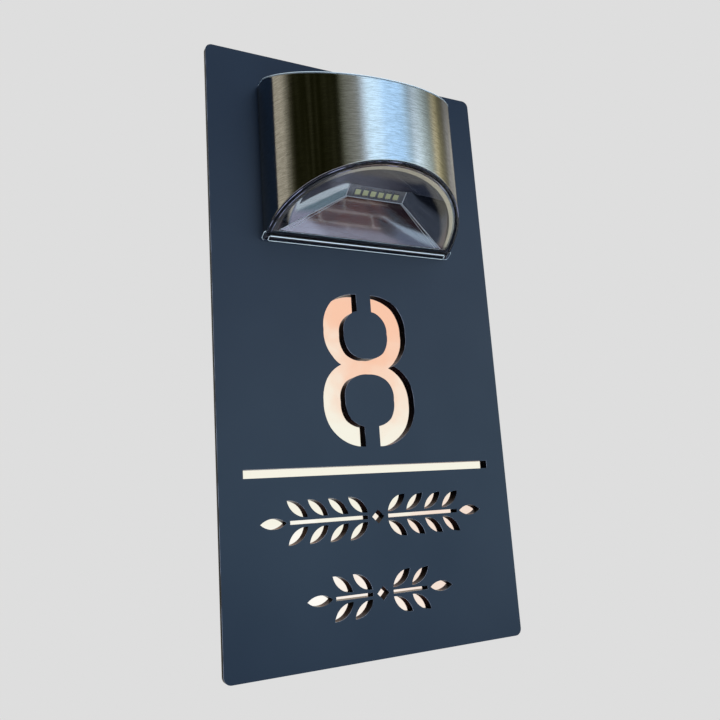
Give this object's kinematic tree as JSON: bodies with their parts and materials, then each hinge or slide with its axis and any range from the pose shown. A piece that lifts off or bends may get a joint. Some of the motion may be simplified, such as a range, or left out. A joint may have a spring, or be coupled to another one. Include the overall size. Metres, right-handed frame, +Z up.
{
  "type": "illuminated house number sign",
  "caption": "Upright stencil-cut wall plaque with a numeral, over a mirror backing, lit by a half-round solar lamp hung on its upper part.",
  "frame": {"origin": "on the wall plane, in the middle of the four wall screws", "axes": "+X to the right as seen from the street, +Y into the wall, +Z up; the plaque's face looks along -Y"},
  "size_m": [0.16, 0.065, 0.305],
  "materials": {
    "slate_acrylic": "satin",
    "rose_mirror": "polished",
    "stainless": "brushed",
    "zinc_steel": "satin",
    "spring_steel": "polished",
    "clear_cover": "polished",
    "solar_laminate": "gloss",
    "metallised": "polished",
    "black_plastic": "matte",
    "grey_plastic": "matte",
    "white_plastic": "matte",
    "gasket_rubber": "matte",
    "white_board": "satin",
    "green_board": "satin",
    "led_phosphor": "satin",
    "chip_black": "matte",
    "cell_sleeve": "gloss",
    "wire_red": "satin"
  },
  "bodies": {
    "sign": {"front_plate": "slate_acrylic", "mirror_plate": "rose_mirror", "locator_cups": "white_plastic", "locator_studs": "white_plastic", "lamp_fixing_screws": "zinc_steel", "lamp_fixing_washers": "zinc_steel", "lamp_fixing_nuts": "zinc_steel"},
    "lamp": {"lamp_shell": "stainless", "lamp_housing": "black_plastic", "top_cover": "clear_cover", "solar_cell": "solar_laminate", "lens": "clear_cover", "reflector": "metallised", "led_board": "white_board", "led_chips": "led_phosphor", "rear_cover": "black_plastic", "rear_gasket": "gasket_rubber", "rear_screws": "zinc_steel", "battery": "cell_sleeve", "battery_holder": "grey_plastic", "holder_screws": "zinc_steel", "battery_spring": "spring_steel", "battery_contact": "spring_steel", "control_board": "green_board", "board_screws": "zinc_steel", "control_chip": "chip_black", "board_inductor": "chip_black", "switch_body": "grey_plastic", "led_leads": "wire_red", "battery_leads": "wire_red", "panel_leads": "wire_red"},
    "switch_slider": {"switch_slider": "white_plastic"}
  },
  "joints": [
    {"name": "lamp_lift", "type": "slide", "parent": "sign", "child": "lamp", "axis": [0, 0, 1], "range_m": [0, 0.009]},
    {"name": "switch_slide", "type": "slide", "parent": "lamp", "child": "switch_slider", "axis": [1, 0, 0], "range_m": [0, 0.002]}
  ]
}
